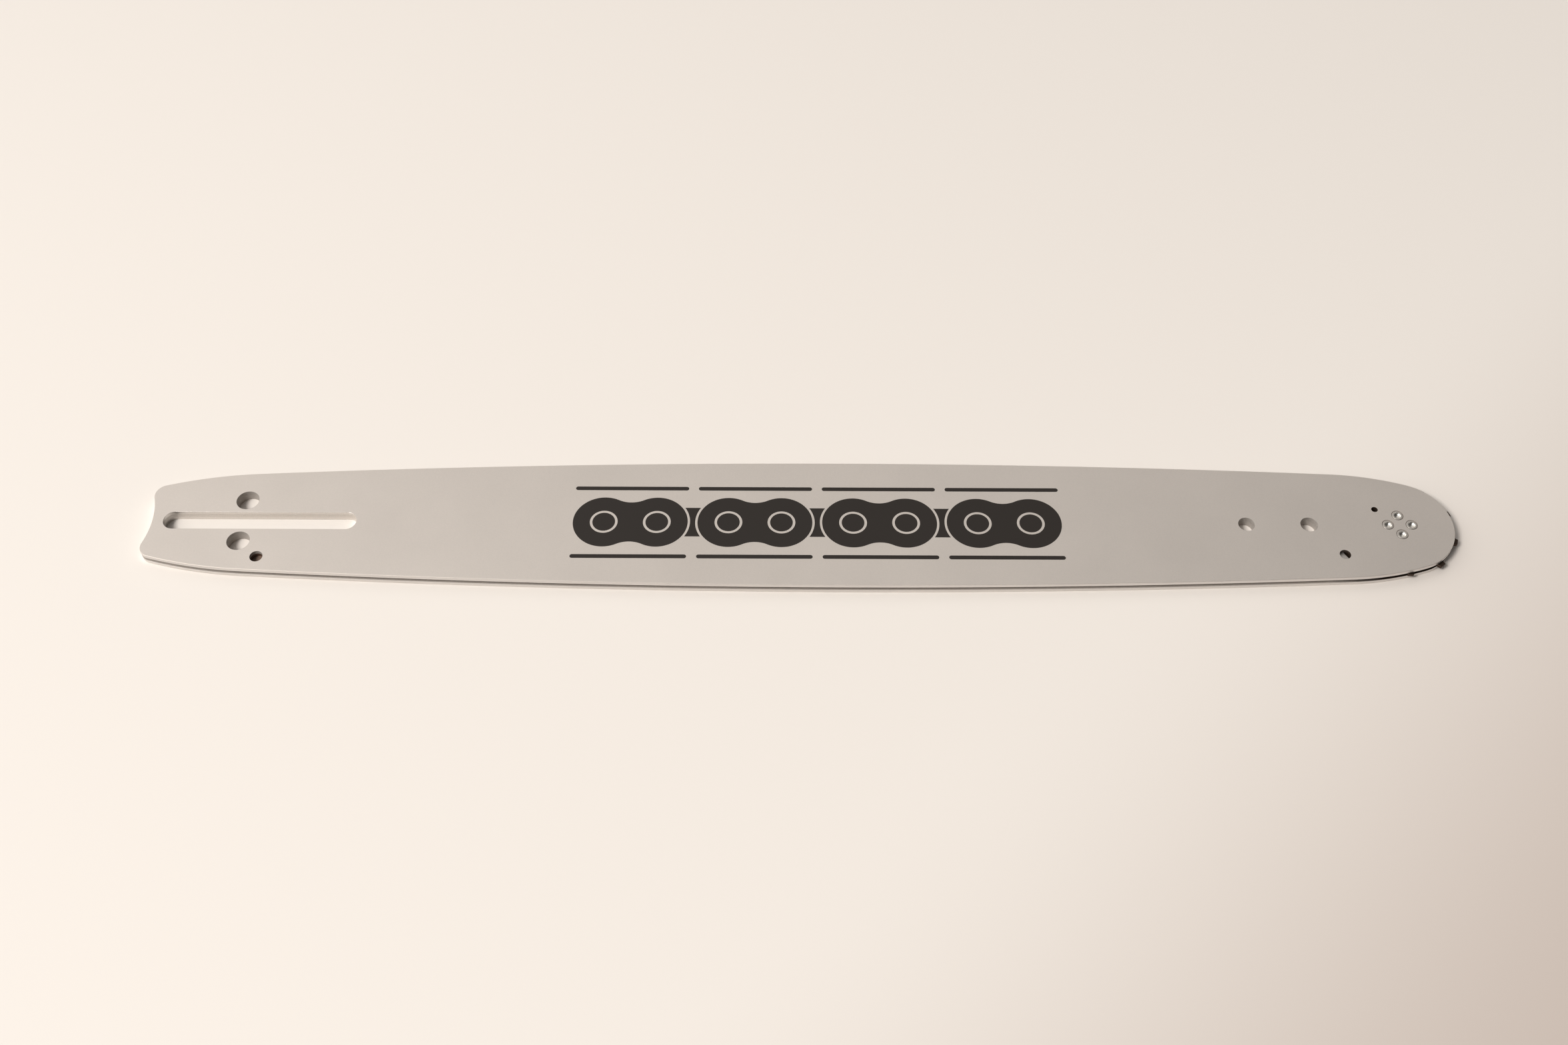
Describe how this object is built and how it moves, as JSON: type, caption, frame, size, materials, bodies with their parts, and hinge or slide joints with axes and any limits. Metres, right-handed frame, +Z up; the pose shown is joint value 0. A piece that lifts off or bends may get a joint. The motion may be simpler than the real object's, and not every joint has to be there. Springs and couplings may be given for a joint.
{
  "type": "chainsaw guide bar",
  "caption": "Laminated steel guide bar for a chainsaw: long rounded blade with a stud slot and tensioner holes at the saw end and a star sprocket on rollers in the nose.",
  "frame": {"origin": "centre of the overall length and width, on the lower face that the bar lies on", "axes": "+X along the bar from the saw end to the nose, +Y across it, +Z up through its thickness"},
  "size_m": [0.508, 0.0596, 0.0047],
  "materials": {
    "side_plate_steel": "satin, fine ground grain",
    "core_steel": "plain mill finish",
    "sprocket_steel": "dark hardened steel",
    "bearing_steel": "ground and greased",
    "rivet_steel": "pressed bright steel",
    "face_print": "matt black printed ink"
  },
  "bodies": {
    "bar": {"upper_side_plate": "side_plate_steel", "lower_side_plate": "side_plate_steel", "core_plate": "core_steel", "bearing_hub": "bearing_steel", "nose_rivets": "rivet_steel"},
    "sprocket": {"nose_sprocket": "sprocket_steel"},
    "rollers": {"bearing_roller_01": "bearing_steel", "bearing_roller_02": "bearing_steel", "bearing_roller_03": "bearing_steel", "bearing_roller_04": "bearing_steel", "bearing_roller_05": "bearing_steel", "bearing_roller_06": "bearing_steel", "bearing_roller_07": "bearing_steel", "bearing_roller_08": "bearing_steel", "bearing_roller_09": "bearing_steel", "bearing_roller_10": "bearing_steel", "bearing_roller_11": "bearing_steel", "bearing_roller_12": "bearing_steel", "bearing_roller_13": "bearing_steel", "bearing_roller_14": "bearing_steel", "bearing_roller_15": "bearing_steel", "bearing_roller_16": "bearing_steel", "bearing_roller_17": "bearing_steel", "bearing_roller_18": "bearing_steel", "bearing_roller_19": "bearing_steel", "bearing_roller_20": "bearing_steel", "bearing_roller_21": "bearing_steel", "bearing_roller_22": "bearing_steel", "bearing_roller_23": "bearing_steel", "bearing_roller_24": "bearing_steel"}
  },
  "joints": [
    {"name": "sprocket_spin", "type": "hinge", "parent": "bar", "child": "sprocket", "pos_m": [0.2327, 0, 0.00235], "axis": [0, 0, 1], "continuous": true},
    {"name": "roller_orbit", "type": "hinge", "parent": "bar", "child": "rollers", "pos_m": [0.2327, 0, 0.00235], "axis": [0, 0, 1], "continuous": true}
  ],
  "couplings": [
    {"joint": "roller_orbit", "follows": "sprocket_spin", "ratio": 0.56566}
  ]
}
